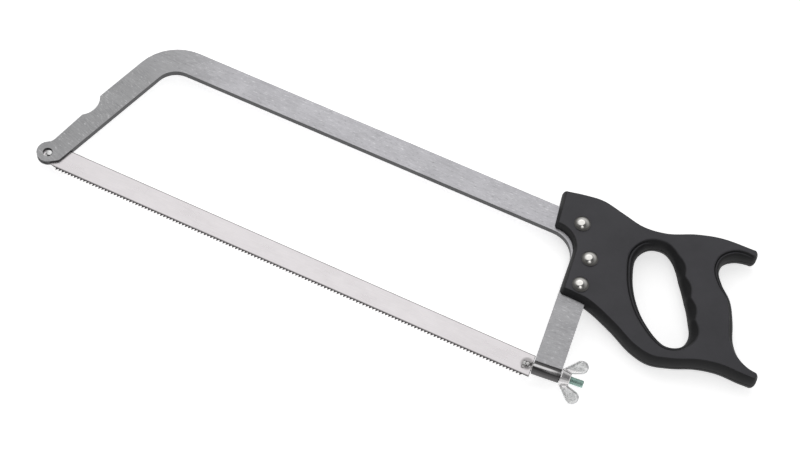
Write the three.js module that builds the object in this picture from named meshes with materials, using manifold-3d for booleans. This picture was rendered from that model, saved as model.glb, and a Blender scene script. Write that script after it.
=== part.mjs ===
// Butcher saw: a bent flat-bar bow, a toothed blade on two cross pins, a hooked tension rod
// drawn by a wing nut, and a moulded two-shell handle held by three domed rivets.
// Millimetres and degrees. The saw lies on its side: X runs along the blade to the handle,
// Y from the blade to the top bar, Z through the thickness.
import * as THREE from 'three';
import { mergeVertices } from 'three/addons/utils/BufferGeometryUtils.js';
import Module from 'manifold-3d';

const wasm = await Module();
wasm.setup();

// Fits
const fitGap = 0.3; // between pieces that touch
const seatGap = 0.1; // under a rivet head

// Bow: one flat bar bent twice
const barWidth = 25.4;
const barThickness = 6.35;
const bowDepth = 131.8; // boss centre to the underside of the top bar
const frontLean = 18.14; // front leg, forward of upright
const rearLean = 5.13; // rear leg, backward of upright
const frontBendRadius = 21.6; // inside of the bend
const rearBendRadius = 25;

// Front end of the bow: a slotted boss on the tapered leg
const frontLegWidth = 24.1;
const bossRadius = 10.6;
const bossHoleRadius = 4.5;
const bossHoleDrop = 0.8; // hole below the boss centre
const bossToLegEdge = 10.25; // boss centre to the leg's outer edge
const legCornerHeight = 0.5; // inner corner of the leg, above the boss centre
const legCornerRadius = 5;
const neckRelief = 4.9; // outer edge cut back at the boss
const lipRelief = 2.8; // outer edge cut back at the finger notch
const neckFillet = 9;
const notchHeight = 59.9; // finger notch, along the leg
const notchRadius = 18.5;
const notchDepth = 6.8;
const slotWidth = 1.5;
const slotHeight = 17.8; // along the leg

// Blade
const bladeHeight = 23;
const bladeThickness = 0.9;
const pinSpan = 479.6; // front pin to rear pin
const rearPinDrop = 1;
const bladeNoseRadius = 7.5;
const bladeShoulder = 11.1; // front pin to the first full-height section
const bladeTail = 4.3; // rear pin to the end
const toothPitch = 3.175;
const toothDepth = 1.7;
const toothMargin = 1.6; // plain edge before the first tooth
const frontPinRadius = 2.75;
const rearPinRadius = 1.8;
const pinProud = 0.3; // front pin beyond the boss faces

// Tensioner
const barrelRadius = 6.1;
const hookReach = 4.9; // rear pin to the front of the barrel
const rodRadius = 4;
const threadRadius = 3.7;
const threadStart = 20; // rear pin to the step down to the thread
const rodTravel = 2; // forward, as the wing nut is slackened
const hookTip = 5.2; // rear pin to the front of the hook
const hookSlotWidth = 1.7;
const rodOverhang = 21.5; // barrel's rear face to the end of the rod
const rodChamfer = 0.8;
const rimChamfer = 0.7;

// Wing nut
const hubLength = 9;
const hubFrontRadius = 8;
const hubRearRadius = 6.3;
const wingSpread = 14.4; // axis to the middle of a wing's round end
const wingSweep = 15.2; // hub's front to the middle of a wing's round end
const wingTipRadius = 6.2;
const wingThickness = 3.2;
const wingRootFront = 0.8;
const wingRootRear = 8.2;
const wingFrontHeight = 8; // where the flanks leave the hub
const wingRearHeight = 5.5;
const wingEdge = 0.8; // rounded edge of a wing
const wingTurn = 8;

// Handle
const handleThickness = 22;
const handleReach = 196.2; // bend's corner to the tip of the lower horn
const edgeRim = 4; // how far a face is set in from the widest outline
const tipRim = 3;
const lowerRim = 4;
const backRim = 5.5; // along the back of the grip
const webRim = 6.8; // under the upper horn
const shellCorner = 4.6;
const tipCorner = 4.2;
const plateStep = 2.7; // cut-out's edge above the underside of the bar
const frontReach = 23.8; // bend's corner to the front edge
const cutoutRadius = 21.5;
const cutoutCorner = 3.4; // where the cut-out meets the front edge
const cutoutRim = 3;
const holeRim = 8.3; // on the far side of the hand hole
const gripRim = 4.9; // on the grip's side, before the finger grooves
const fingerCount = 4;
const fingerPitch = 21.7;
const fingerDepth = 3.4;

// Rivets
const rivetHeadRadius = 7.5;
const rivetHeadHeight = 3.7;
const rivetEdge = 0.7; // straight rim of a head
const rivetPinRadius = 2.5;
const rivetWall = 1.1;
const rivetEngagement = 16; // length of pin inside its sleeve

// Fineness of the facets
const facet = 9;
const roundSides = 24;

const materials = {
  bar: new THREE.MeshStandardMaterial({ color: 0xa6a7a9, roughness: 0.42, metalness: 0.9 }),
  blade: new THREE.MeshStandardMaterial({ color: 0xd5d1d2, roughness: 0.25, metalness: 0.95 }),
  pin: new THREE.MeshStandardMaterial({ color: 0xc9c9c8, roughness: 0.3, metalness: 0.95 }),
  barrel: new THREE.MeshStandardMaterial({ color: 0x6d6c6c, roughness: 0.35, metalness: 0.9 }),
  rod: new THREE.MeshStandardMaterial({ color: 0x9fb0a8, roughness: 0.35, metalness: 0.9 }),
  nut: new THREE.MeshStandardMaterial({ color: 0xc4c6c4, roughness: 0.45, metalness: 0.85 }),
  shell: new THREE.MeshStandardMaterial({ color: 0x2f2f31, roughness: 0.5, metalness: 0 }),
  rivet: new THREE.MeshStandardMaterial({ color: 0xcfcbc2, roughness: 0.18, metalness: 1 }),
};

const radians = THREE.MathUtils.degToRad;
const vec = (x, y) => new THREE.Vector2(x, y);

// Solids from closed geometries, and back
function toSolid(geometry) {
  const bare = new THREE.BufferGeometry();
  bare.setAttribute('position', geometry.getAttribute('position'));
  bare.setIndex(geometry.getIndex());
  const merged = mergeVertices(bare, 1e-4);
  const vertProperties = new Float32Array(merged.getAttribute('position').array);
  const triVerts = new Uint32Array(merged.getIndex().array);
  return new wasm.Manifold(new wasm.Mesh({ numProp: 3, vertProperties, triVerts }));
}

function toGeometry(solid) {
  const { vertProperties, triVerts } = solid.getMesh();
  const geometry = new THREE.BufferGeometry();
  geometry.setAttribute('position', new THREE.BufferAttribute(new Float32Array(vertProperties), 3));
  geometry.setIndex(new THREE.BufferAttribute(new Uint32Array(triVerts), 1));
  geometry.computeVertexNormals();
  return geometry;
}

function piece(name, solid, material) {
  const mesh = new THREE.Mesh(toGeometry(solid), material);
  mesh.name = name;
  return mesh;
}

// A flat outline carried from one Z to another
function prism(points, low, high) {
  const shape = new THREE.Shape(points);
  const geometry = new THREE.ExtrudeGeometry(shape, { depth: high - low, bevelEnabled: false });
  return toSolid(geometry.translate(0, 0, low));
}

function box(low, high) {
  const size = new THREE.Vector3().subVectors(high, low);
  const middle = new THREE.Vector3().addVectors(low, high).multiplyScalar(0.5);
  const geometry = new THREE.BoxGeometry(size.x, size.y, size.z);
  return toSolid(geometry.translate(middle.x, middle.y, middle.z));
}

// A profile of (radius, height) pairs turned about the Z axis
function turnedAboutZ(profile) {
  const points = profile.map(([radius, height]) => vec(radius, height));
  return toSolid(new THREE.LatheGeometry(points, roundSides).rotateX(Math.PI / 2));
}

// The same, turned about the X axis
function turnedAboutX(profile) {
  const points = profile.map(([radius, height]) => vec(radius, height));
  return toSolid(new THREE.LatheGeometry(points, roundSides).rotateZ(-Math.PI / 2));
}

const cylinderZ = (radius, low, high) =>
  turnedAboutZ([[0, low], [radius, low], [radius, high], [0, high]]);

// Plane construction
function arc(centre, radius, from, to) {
  const steps = Math.max(2, Math.ceil(Math.abs(to - from) / radians(facet)));
  const at = (i) => from + ((to - from) * i) / steps;
  return Array.from({ length: steps + 1 }, (_, i) =>
    vec(centre.x + radius * Math.cos(at(i)), centre.y + radius * Math.sin(at(i))));
}

function meet(p, along, q, other) {
  const offset = q.clone().sub(p);
  return p.clone().addScaledVector(along, offset.cross(other) / along.cross(other));
}

// A corner between two straight edges, rounded by an arc
function roundedCorner(before, corner, after, radius) {
  const back = before.clone().sub(corner).normalize();
  const on = after.clone().sub(corner).normalize();
  const half = Math.acos(THREE.MathUtils.clamp(back.dot(on), -1, 1)) / 2;
  const start = corner.clone().addScaledVector(back, radius / Math.tan(half));
  const middle = back.clone().add(on).normalize();
  const centre = corner.clone().addScaledVector(middle, radius / Math.sin(half));
  const turn = (Math.PI - 2 * half) * -Math.sign(back.cross(on));
  const from = start.clone().sub(centre).angle();
  return arc(centre, radius, from, from + turn);
}

function roundedPath(corners) {
  const count = corners.length;
  return corners.flatMap(({ at, radius = 0 }, i) => {
    const before = corners[(i + count - 1) % count].at;
    const after = corners[(i + 1) % count].at;
    return radius > 0 ? roundedCorner(before, at, after, radius) : [at];
  });
}

// Angle, on a circle about the origin, of the tangent from an outside point
function tangentAngle(point, radius, side) {
  return point.angle() + side * Math.acos(radius / point.length());
}

// Front leg's own directions, from the boss centre
const frontUp = vec(Math.sin(radians(frontLean)), Math.cos(radians(frontLean)));
const frontIn = vec(frontUp.y, -frontUp.x);
const onFrontLeg = (along, across) =>
  frontUp.clone().multiplyScalar(along).addScaledVector(frontIn, across);

// Places that the pieces share
const handleUnit = handleReach / 100;
const frontPin = vec(bossHoleRadius - frontPinRadius - fitGap, -bossHoleDrop);
const bladeTilt = -Math.asin(rearPinDrop / pinSpan);
const rearPin = vec(frontPin.x + pinSpan * Math.cos(bladeTilt), frontPin.y - rearPinDrop);
const rodAlong = vec(Math.cos(radians(rearLean)), Math.sin(radians(rearLean)));
const rearUp = vec(-rodAlong.y, rodAlong.x);
const level = vec(1, 0);
const legFoot = rearPin.clone().addScaledVector(rodAlong, hookReach);
const rearCorner = meet(vec(0, bowDepth), level, legFoot, rearUp);

// Outline of the bow; grow widens the bar on every side, for the pocket that holds it
function bowOutline(grow = 0) {
  const innerAcross = frontLegWidth - bossToLegEdge + grow;
  const outerAcross = -bossToLegEdge - grow;
  const under = vec(0, bowDepth - grow);
  const top = vec(0, bowDepth + barWidth + grow);
  const rearLeft = legFoot.clone().addScaledVector(rodAlong, -grow);
  const rearRight = legFoot.clone().addScaledVector(rodAlong, barWidth + grow);
  const corner = onFrontLeg(legCornerHeight, innerAcross);
  const neckAcross = neckRelief - bossToLegEdge;
  const lipAcross = lipRelief - bossToLegEdge;

  // The cut-back edge, and the fillet that runs from it into the boss
  const neck = onFrontLeg(bossRadius, neckAcross);
  const lip = onFrontLeg(notchHeight, lipAcross);
  const edge = lip.clone().sub(neck).normalize();
  const outward = vec(-edge.y, edge.x);
  const reach = bossRadius + neckFillet;
  const filletLine = neck.clone().addScaledVector(outward, neckFillet);
  const nearest = filletLine.clone().addScaledVector(edge, -filletLine.dot(edge));
  const rise = Math.sqrt(reach * reach - nearest.lengthSq());
  const filletCentre = nearest.clone().addScaledVector(edge, rise);
  const filletFrom = Math.atan2(-outward.y, -outward.x);
  const filletTo = Math.atan2(-filletCentre.y, -filletCentre.x);

  // The boss, from the fillet round to the straight edge that leaves it
  const bossTo = tangentAngle(corner, bossRadius, -1) + (corner.y < 0 ? 0 : 2 * Math.PI);
  const boss = arc(vec(0, 0), bossRadius, filletCentre.angle(), bossTo).slice(1);

  return [
    ...roundedPath([
      { at: boss.at(-1) },
      { at: corner, radius: legCornerRadius },
      { at: meet(under, level, corner, frontUp), radius: frontBendRadius - grow },
      { at: meet(under, level, rearLeft, rearUp), radius: rearBendRadius - grow },
      { at: rearLeft },
      { at: rearRight },
      { at: meet(top, level, rearRight, rearUp), radius: rearBendRadius + barWidth + grow },
      {
        at: meet(top, level, onFrontLeg(0, outerAcross), frontUp),
        radius: frontBendRadius + barWidth + grow,
      },
      { at: onFrontLeg(notchHeight, outerAcross) },
      { at: lip },
    ]),
    ...arc(filletCentre, neckFillet, filletFrom, filletTo),
    ...boss.slice(0, -1),
  ];
}

// Bow, with its finger notch, pin hole, blade slot, rivet holes and seat for the barrel
function bowFrame() {
  const half = barThickness / 2;
  const beyond = barThickness;
  const notchCentre = onFrontLeg(notchHeight, notchDepth - notchRadius - bossToLegEdge);
  const notch = prism(arc(notchCentre, notchRadius, 0, 2 * Math.PI).slice(1), -beyond, beyond);
  const slotTop = onFrontLeg(slotHeight, 0);
  const slotCorner = (across, along) =>
    slotTop.clone().addScaledVector(frontIn, across).addScaledVector(frontUp, along);
  const slotReach = slotHeight + 2 * bossRadius;
  const slot = prism(
    [
      slotCorner(-barWidth, -slotReach),
      slotCorner(barWidth, -slotReach),
      slotCorner(barWidth, 0),
      slotCorner(-barWidth, 0),
    ],
    -slotWidth / 2,
    slotWidth / 2,
  );
  const seat = tensionSpace(turnedAboutX([
    [0, -barWidth],
    [barrelRadius + fitGap, -barWidth],
    [barrelRadius + fitGap, hookReach + 2 * barWidth],
    [0, hookReach + 2 * barWidth],
  ]));
  let bow = prism(bowOutline(), -half, half)
    .subtract(notch)
    .subtract(cylinderZ(bossHoleRadius, -beyond, beyond).translate([0, -bossHoleDrop, 0]))
    .subtract(slot)
    .subtract(seat);
  rivetPlaces().forEach((place) => {
    bow = bow.subtract(rivetHole(place, beyond));
  });
  return piece('bow_frame', bow, materials.bar);
}

// Blade outline from its front pin: a round nose, a tail cut along the rear leg and teeth
// that point forward
function bladeOutline() {
  const half = bladeHeight / 2;
  const end = pinSpan + bladeTail;
  const tailAt = (y) => vec(end - y * Math.tan(radians(rearLean)), y);
  const gullet = toothDepth - half;
  const count = Math.floor((end - bladeShoulder - 2 * toothMargin) / toothPitch);
  const teeth = Array.from({ length: count }, (_, i) => {
    const x = bladeShoulder + toothMargin + i * toothPitch;
    return [vec(x, gullet), vec(x, -half)];
  }).flat();
  const lastGullet = bladeShoulder + toothMargin + count * toothPitch;
  const shoulder = vec(bladeShoulder, half);
  const noseFrom = tangentAngle(shoulder, bladeNoseRadius, 1);
  return [
    vec(bladeShoulder, gullet),
    ...teeth,
    vec(lastGullet, gullet),
    tailAt(gullet),
    tailAt(half),
    shoulder,
    ...arc(vec(0, 0), bladeNoseRadius, noseFrom, 2 * Math.PI - noseFrom),
  ];
}

function bladeGroup() {
  const half = bladeThickness / 2;
  const rearPlace = vec(pinSpan, 0);
  const blade = prism(bladeOutline(), -half, half)
    .subtract(cylinderZ(frontPinRadius + fitGap, -bladeHeight, bladeHeight))
    .subtract(cylinderZ(rearPinRadius + fitGap, -bladeHeight, bladeHeight)
      .translate([rearPlace.x, rearPlace.y, 0]));
  const frontHalf = barThickness / 2 + pinProud;
  const rearHalf = rodRadius;
  const frontPinPiece = cylinderZ(frontPinRadius, -frontHalf, frontHalf);
  const rearPinPiece = cylinderZ(rearPinRadius, -rearHalf, rearHalf)
    .translate([rearPlace.x, rearPlace.y, 0]);

  const group = new THREE.Group();
  group.position.set(frontPin.x, frontPin.y, 0);
  group.rotation.z = bladeTilt;
  group.add(
    piece('blade', blade, materials.blade),
    piece('blade_front_pin', frontPinPiece, materials.pin),
    piece('blade_rear_pin', rearPinPiece, materials.pin),
  );
  return group;
}

// The tensioner's own space: origin at the rear pin, X along the rod
const tensionPlace = new THREE.Matrix4()
  .makeRotationZ(radians(rearLean))
  .setPosition(rearPin.x, rearPin.y, 0);

function tensionSpace(solid) {
  return toSolid(toGeometry(solid).applyMatrix4(tensionPlace));
}

const barrelRear = hookReach + barWidth;

function tensionBarrel() {
  const bore = rodRadius + fitGap;
  return piece('tension_barrel', turnedAboutX([
    [bore, hookReach],
    [barrelRadius - rimChamfer, hookReach],
    [barrelRadius, hookReach + rimChamfer],
    [barrelRadius, barrelRear - rimChamfer],
    [barrelRadius - rimChamfer, barrelRear],
    [bore, barrelRear],
    [bore, hookReach],
  ]), materials.barrel);
}

// Rod with a slot for the blade's tail and a notch that hooks its pin. The notch is open to
// the tooth side and square to the blade, so the pin swings straight out of it.
function tensionRod() {
  const end = barrelRear + rodOverhang;
  const shank = turnedAboutX([
    [0, -hookTip],
    [rodRadius - rodChamfer, -hookTip],
    [rodRadius, rodChamfer - hookTip],
    [rodRadius, threadStart],
    [threadRadius, threadStart + rodRadius - threadRadius],
    [threadRadius, end - rodChamfer],
    [threadRadius - rodChamfer, end],
    [0, end],
  ]);
  const across = 2 * rodRadius;
  const slotEnd = bladeTail + rodTravel + 2 * fitGap;
  const slot = box(
    new THREE.Vector3(-across - hookTip, -across, -hookSlotWidth / 2),
    new THREE.Vector3(slotEnd, across, hookSlotWidth / 2),
  );
  const notchHalf = rearPinRadius + fitGap;
  const notch = box(
    new THREE.Vector3(-notchHalf, -across, -across),
    new THREE.Vector3(notchHalf + rodTravel, notchHalf, across),
  ).rotate([0, 0, -rearLean]);
  return piece('tension_rod', shank.subtract(slot).subtract(notch), materials.rod);
}

// One wing: straight flanks from the hub, tangent to a round end
function wingOutline() {
  const tip = vec(wingSweep, wingSpread);
  const rootFront = vec(wingRootFront, wingFrontHeight);
  const rootRear = vec(wingRootRear, wingRearHeight);
  const toFront = rootFront.clone().sub(tip);
  const toRear = rootRear.clone().sub(tip);
  const from = tangentAngle(toRear, wingTipRadius, 1);
  const to = tangentAngle(toFront, wingTipRadius, -1);
  return [
    rootFront,
    vec(wingRootFront, 0),
    vec(wingRootRear, 0),
    rootRear,
    ...arc(tip, wingTipRadius, from, to > from ? to : to + 2 * Math.PI),
  ];
}

function wingNut() {
  const shape = new THREE.Shape(wingOutline());
  const flat = wingThickness - 2 * wingEdge;
  const upper = toSolid(new THREE.ExtrudeGeometry(shape, {
    depth: flat,
    bevelThickness: wingEdge,
    bevelSize: wingEdge,
    bevelOffset: -wingEdge,
    bevelSegments: 2,
  }).translate(0, 0, -flat / 2));
  const lower = toSolid(toGeometry(upper).rotateX(Math.PI));
  const bore = threadRadius + fitGap;
  const hub = turnedAboutX([
    [0, 0],
    [hubFrontRadius, 0],
    [hubFrontRadius, rimChamfer],
    [hubRearRadius, hubLength - rimChamfer],
    [hubRearRadius - rimChamfer, hubLength],
    [0, hubLength],
  ]);
  const hole = turnedAboutX([
    [0, -hubLength],
    [bore, -hubLength],
    [bore, 4 * hubLength],
    [0, 4 * hubLength],
  ]);
  const nut = piece('wing_nut', hub.add(upper).add(lower).subtract(hole), materials.nut);
  nut.position.x = barrelRear + fitGap;
  nut.rotation.x = radians(wingTurn);
  return nut;
}

function tensionGroup() {
  const group = new THREE.Group();
  group.applyMatrix4(tensionPlace);
  group.add(tensionBarrel(), tensionRod(), wingNut());
  return group;
}

// Rivets, placed from the inside corner of the rear bend
function rivetPlaces() {
  return [[-0.61, 6.83], [9.28, -8.66], [10.35, -22.78]]
    .map(([x, y]) => rearCorner.clone().add(vec(x, y).multiplyScalar(handleUnit)));
}

const sleeveRadius = rivetPinRadius + fitGap + rivetWall;

function rivetHole(place, beyond) {
  return cylinderZ(sleeveRadius + fitGap, -beyond, beyond).translate([place.x, place.y, 0]);
}

// Head profile from its seat to its crown: a short rim, then part of a sphere
function headProfile(seat) {
  const crown = rivetHeadHeight - rivetEdge;
  const ball = (rivetHeadRadius ** 2 + crown ** 2) / (2 * crown);
  const slope = Math.asin(rivetHeadRadius / ball);
  const steps = 5;
  const dome = Array.from({ length: steps + 1 }, (_, i) => {
    const angle = slope * (1 - i / steps);
    return [ball * Math.sin(angle), seat + rivetHeadHeight - ball * (1 - Math.cos(angle))];
  });
  dome[steps][0] = 0;
  return [[rivetHeadRadius, seat], ...dome];
}

function rivets() {
  const seat = handleThickness / 2 + seatGap;
  const pinEnd = -rivetEngagement / 2;
  const sleeveEnd = rivetEngagement / 2;
  const bore = rivetPinRadius + fitGap;
  const cap = turnedAboutZ([
    [0, pinEnd], [rivetPinRadius, pinEnd], [rivetPinRadius, seat], ...headProfile(seat),
  ]);
  const post = turnedAboutZ([
    [0, pinEnd - fitGap],
    [bore, pinEnd - fitGap],
    [bore, sleeveEnd],
    [sleeveRadius, sleeveEnd],
    [sleeveRadius, -seat],
    ...headProfile(seat).map(([radius, height]) => [radius, -height]),
  ].reverse());
  return rivetPlaces().flatMap((place, i) => [
    piece(`rivet_cap_${i + 1}`, cap.translate([place.x, place.y, 0]), materials.rivet),
    piece(`rivet_post_${i + 1}`, post.translate([place.x, place.y, 0]), materials.rivet),
  ]);
}

// Handle outline. Each point carries its rim: how far the face is set in there.
const withRim = (points, rim) => points.map((p) => new THREE.Vector3(p.x, p.y, rim));

function smooth(points, count, closed = false) {
  const curve = new THREE.CatmullRomCurve3(points, closed, 'centripetal');
  return curve.getSpacedPoints(count);
}

// Places on the handle are in hundredths of its reach, from the bend's corner
const fromCorner = (x, y, rim) =>
  new THREE.Vector3(rearCorner.x + x * handleUnit, rearCorner.y + y * handleUnit, rim);

function handleOutline() {
  const flat = (p) => vec(p.x, p.y);
  const topCurve = smooth([
    fromCorner(-15.7, 21.25, edgeRim),
    fromCorner(-5.1, 23.65, edgeRim),
    fromCorner(4.08, 24.62, edgeRim),
    fromCorner(15.29, 22.27, edgeRim),
    fromCorner(25.99, 20.08, edgeRim),
    fromCorner(36.7, 21.61, edgeRim),
    fromCorner(49.44, 27.42, edgeRim),
    fromCorner(61.67, 30.84, edgeRim),
    fromCorner(79.51, 31.29, tipRim),
  ], 34);
  const gripBack = smooth([
    fromCorner(79.51, 25.99, tipRim),
    fromCorner(70.85, 23.45, backRim),
    fromCorner(66.36, 19.11, webRim),
    fromCorner(66.06, 13.51, webRim),
    fromCorner(69.83, 7.65, webRim),
    fromCorner(75.94, 1.38, backRim),
    fromCorner(80.53, -7.9, backRim),
    fromCorner(84.1, -17.58, backRim),
    fromCorner(88.43, -23.29, edgeRim),
    fromCorner(93.78, -26.2, edgeRim),
    fromCorner(100, -27.62, tipRim),
  ], 34);
  const underEdge = smooth([
    fromCorner(100, -32.87, tipRim),
    fromCorner(93.27, -33.64, lowerRim),
    fromCorner(82.57, -33.64, lowerRim),
    fromCorner(72.88, -35.88, lowerRim),
    fromCorner(62.95, -40.27, lowerRim),
    fromCorner(52.5, -43.17, lowerRim),
    fromCorner(42.81, -41.39, lowerRim),
    fromCorner(30.58, -35.37, edgeRim),
    fromCorner(16.31, -29.87, edgeRim),
    fromCorner(8.66, -29.26, edgeRim),
  ], 34);
  const footHeight = vec(0, rearCorner.y - 29.26 * handleUnit);
  const footCorner = meet(footHeight, level, legFoot, rearUp);
  const stepCorner = meet(vec(0, bowDepth + plateStep), level, legFoot, rearUp);
  const frontFoot = vec(rearCorner.x - frontReach, bowDepth + plateStep);
  const rounded = (before, at, after, radius, rim) =>
    withRim(roundedCorner(flat(before), flat(at), flat(after), radius), rim);
  const last = (curve) => curve[curve.length - 1];
  return [
    ...rounded(frontFoot, topCurve[0], topCurve[1], shellCorner, edgeRim),
    ...topCurve.slice(2, -2),
    ...rounded(topCurve.at(-2), last(topCurve), gripBack[0], tipCorner, tipRim),
    ...rounded(last(topCurve), gripBack[0], gripBack[1], tipCorner, tipRim),
    ...gripBack.slice(2, -2),
    ...rounded(gripBack.at(-2), last(gripBack), underEdge[0], tipCorner, tipRim),
    ...rounded(last(gripBack), underEdge[0], underEdge[1], tipCorner, tipRim),
    ...underEdge.slice(2),
    ...rounded(last(underEdge), footCorner, stepCorner, shellCorner, edgeRim),
    ...rounded(footCorner, stepCorner, frontFoot, cutoutRadius, cutoutRim),
    ...rounded(stepCorner, frontFoot, topCurve[0], cutoutCorner, cutoutRim),
  ];
}

// Hand hole: a slanted oval whose grip side is scalloped for the fingers at the faces
function handHole() {
  const outline = smooth([
    fromCorner(38.23, 13.35, gripRim * 0.82),
    fromCorner(31.6, 10.7, holeRim * 0.72),
    fromCorner(28.54, 3.57, holeRim),
    fromCorner(30.58, -5.86, holeRim),
    fromCorner(35.83, -16.41, holeRim),
    fromCorner(44.34, -25.99, holeRim * 0.96),
    fromCorner(56.37, -32.72, holeRim * 0.84),
    fromCorner(62.84, -29.97, holeRim * 0.72),
    fromCorner(64.53, -23.45, gripRim),
    fromCorner(60.04, -13.2, gripRim),
    fromCorner(51.33, 0.2, gripRim),
    fromCorner(46.84, 6.68, gripRim),
    fromCorner(42.81, 11.11, gripRim),
  ], 96, true).slice(0, -1);
  const gripTop = fromCorner(47.3, 6.07, 0);
  const gripAlong = new THREE.Vector3(0.552, -0.834, 0);
  const run = fingerCount * fingerPitch;
  outline.forEach((point) => {
    const offset = point.clone().sub(gripTop);
    const along = offset.dot(gripAlong) + fingerPitch / 2;
    const across = offset.cross(gripAlong).z;
    if (along > 0 && along < run && Math.abs(across) < fingerPitch / 2) {
      point.z += fingerDepth * 0.5 * (1 - Math.cos((2 * Math.PI * along) / fingerPitch));
    }
  });
  return outline;
}

// Points moved into the material by a share of their own rim
function setIn(outline, share) {
  const count = outline.length;
  return outline.map((point, i) => {
    const before = outline[(i + count - 1) % count];
    const after = outline[(i + 1) % count];
    const first = vec(point.x - before.x, point.y - before.y).normalize();
    const second = vec(after.x - point.x, after.y - point.y).normalize();
    const along = first.clone().add(second).normalize();
    const stretch = 1 / Math.max(0.7, along.dot(second));
    const depth = point.z * share * stretch;
    return vec(point.x + along.y * depth, point.y - along.x * depth);
  });
}

// A shell from the seam to its face: walls crowned as an arc that is upright at the seam
function shellGeometry() {
  const outer = handleOutline();
  const hole = handHole();
  const low = fitGap / 2;
  const high = handleThickness / 2;
  const lean = 2 * Math.atan(edgeRim / high);
  const layers = 4;
  const rings = Array.from({ length: layers + 1 }, (_, i) => {
    const height = low + ((high - low) * i) / layers;
    const swing = Math.asin((height / high) * Math.sin(lean));
    return { height, share: (1 - Math.cos(swing)) / (1 - Math.cos(lean)) };
  });
  const positions = [];
  const indices = [];
  const loops = rings.map(({ height, share }) => [outer, hole].map((outline) => {
    const start = positions.length / 3;
    const points = setIn(outline, share);
    points.forEach((p) => positions.push(p.x, p.y, height));
    return { start, points };
  }));
  [0, 1].forEach((which) => {
    for (let layer = 0; layer < layers; layer += 1) {
      const below = loops[layer][which];
      const above = loops[layer + 1][which];
      const count = below.points.length;
      for (let i = 0; i < count; i += 1) {
        const next = (i + 1) % count;
        const a = below.start + i;
        const b = below.start + next;
        const c = above.start + next;
        const d = above.start + i;
        indices.push(a, c, b, a, d, c);
      }
    }
  });
  [0, layers].forEach((layer) => {
    const [edge, opening] = loops[layer];
    const faces = THREE.ShapeUtils.triangulateShape(edge.points, [opening.points]);
    const split = edge.points.length;
    const index = (i) => (i < split ? edge.start + i : opening.start + i - split);
    faces.forEach(([a, b, c]) => {
      const facing = layer === 0 ? [a, c, b] : [a, b, c];
      indices.push(...facing.map(index));
    });
  });
  const geometry = new THREE.BufferGeometry();
  geometry.setAttribute('position', new THREE.Float32BufferAttribute(positions, 3));
  geometry.setIndex(indices);
  return geometry;
}

// Both shells: one is the other turned over, and each holds half of the bar
function handleShells() {
  const depth = barThickness / 2 + fitGap;
  const pocket = prism(bowOutline(fitGap), -depth, depth);
  const beyond = handleThickness;
  const front = toSolid(shellGeometry());
  const back = front.mirror([0, 0, 1]);
  const cut = (shell) =>
    rivetPlaces().reduce((left, place) => left.subtract(rivetHole(place, beyond)), shell.subtract(pocket));
  return [
    piece('handle_half_front', cut(front), materials.shell),
    piece('handle_half_back', cut(back), materials.shell),
  ];
}

// The whole saw, set down with the middle of its footprint at the origin
const saw = new THREE.Group();
saw.add(bowFrame(), bladeGroup(), tensionGroup(), ...handleShells(), ...rivets());
saw.updateMatrixWorld(true);
const bounds = new THREE.Box3().setFromObject(saw, true);
const middle = bounds.getCenter(new THREE.Vector3());
saw.position.set(-middle.x, -middle.y, -bounds.min.z);

export default saw;
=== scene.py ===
import math

import bmesh
import bpy
import numpy as np
from mathutils import Matrix, Vector
from mathutils.geometry import tessellate_polygon


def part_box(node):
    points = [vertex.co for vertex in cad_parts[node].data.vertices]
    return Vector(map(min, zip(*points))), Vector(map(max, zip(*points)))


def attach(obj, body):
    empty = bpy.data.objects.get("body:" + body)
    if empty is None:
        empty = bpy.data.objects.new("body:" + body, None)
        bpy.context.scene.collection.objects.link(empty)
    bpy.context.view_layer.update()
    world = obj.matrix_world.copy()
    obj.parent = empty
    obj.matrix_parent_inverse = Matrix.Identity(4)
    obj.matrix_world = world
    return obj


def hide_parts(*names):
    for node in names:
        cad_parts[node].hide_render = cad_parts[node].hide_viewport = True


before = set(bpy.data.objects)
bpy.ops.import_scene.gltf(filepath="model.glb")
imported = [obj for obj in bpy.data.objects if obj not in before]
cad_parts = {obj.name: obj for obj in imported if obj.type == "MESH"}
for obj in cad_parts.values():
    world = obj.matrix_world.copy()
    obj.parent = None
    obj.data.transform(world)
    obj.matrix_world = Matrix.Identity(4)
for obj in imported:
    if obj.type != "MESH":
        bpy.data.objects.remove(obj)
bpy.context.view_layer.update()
print("saw frame loaded")

# all shapes below are in millimetres from the centre of the front boss, z from the middle of the bar
sawPlan = dict(
    bowDepth=131.8, barWidth=25.4, bossDrop=0.8, pinOffset=1.45, pinSpan=479.6,
    rearPinDrop=1.0, rearLean=5.13, hookReach=4.9,
)
mergeGap = 1e-6  # metres; points closer than this are one
pinLow, pinHigh = (np.array(c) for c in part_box("blade_front_pin"))
bossCentre = (pinLow + pinHigh) / 2 * 1000 - np.array([sawPlan["pinOffset"], -sawPlan["bossDrop"], 0.0])
lean = math.radians(sawPlan["rearLean"])
bladeTilt = -math.asin(sawPlan["rearPinDrop"] / sawPlan["pinSpan"])
frontPin = np.array([sawPlan["pinOffset"], -sawPlan["bossDrop"]])
rearPin = frontPin + np.array([sawPlan["pinSpan"] * math.cos(bladeTilt), -sawPlan["rearPinDrop"]])
rodAlong = np.array([math.cos(lean), math.sin(lean)])
rearUp = np.array([-rodAlong[1], rodAlong[0]])
legFoot = rearPin + rodAlong * sawPlan["hookReach"]
rearCorner = legFoot + rearUp * ((sawPlan["bowDepth"] - legFoot[1]) / rearUp[1])


# shapes as arrays
def toMetres(points):
    return (np.asarray(points, float) + bossCentre) / 1000


def toTension(points):  # from the rod's own space (x along the rod, origin at the rear pin)
    p = np.asarray(points, float)
    flat = rearPin + p[:, :1] * rodAlong + p[:, 1:2] * rearUp
    return np.column_stack([flat, p[:, 2]])


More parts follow.
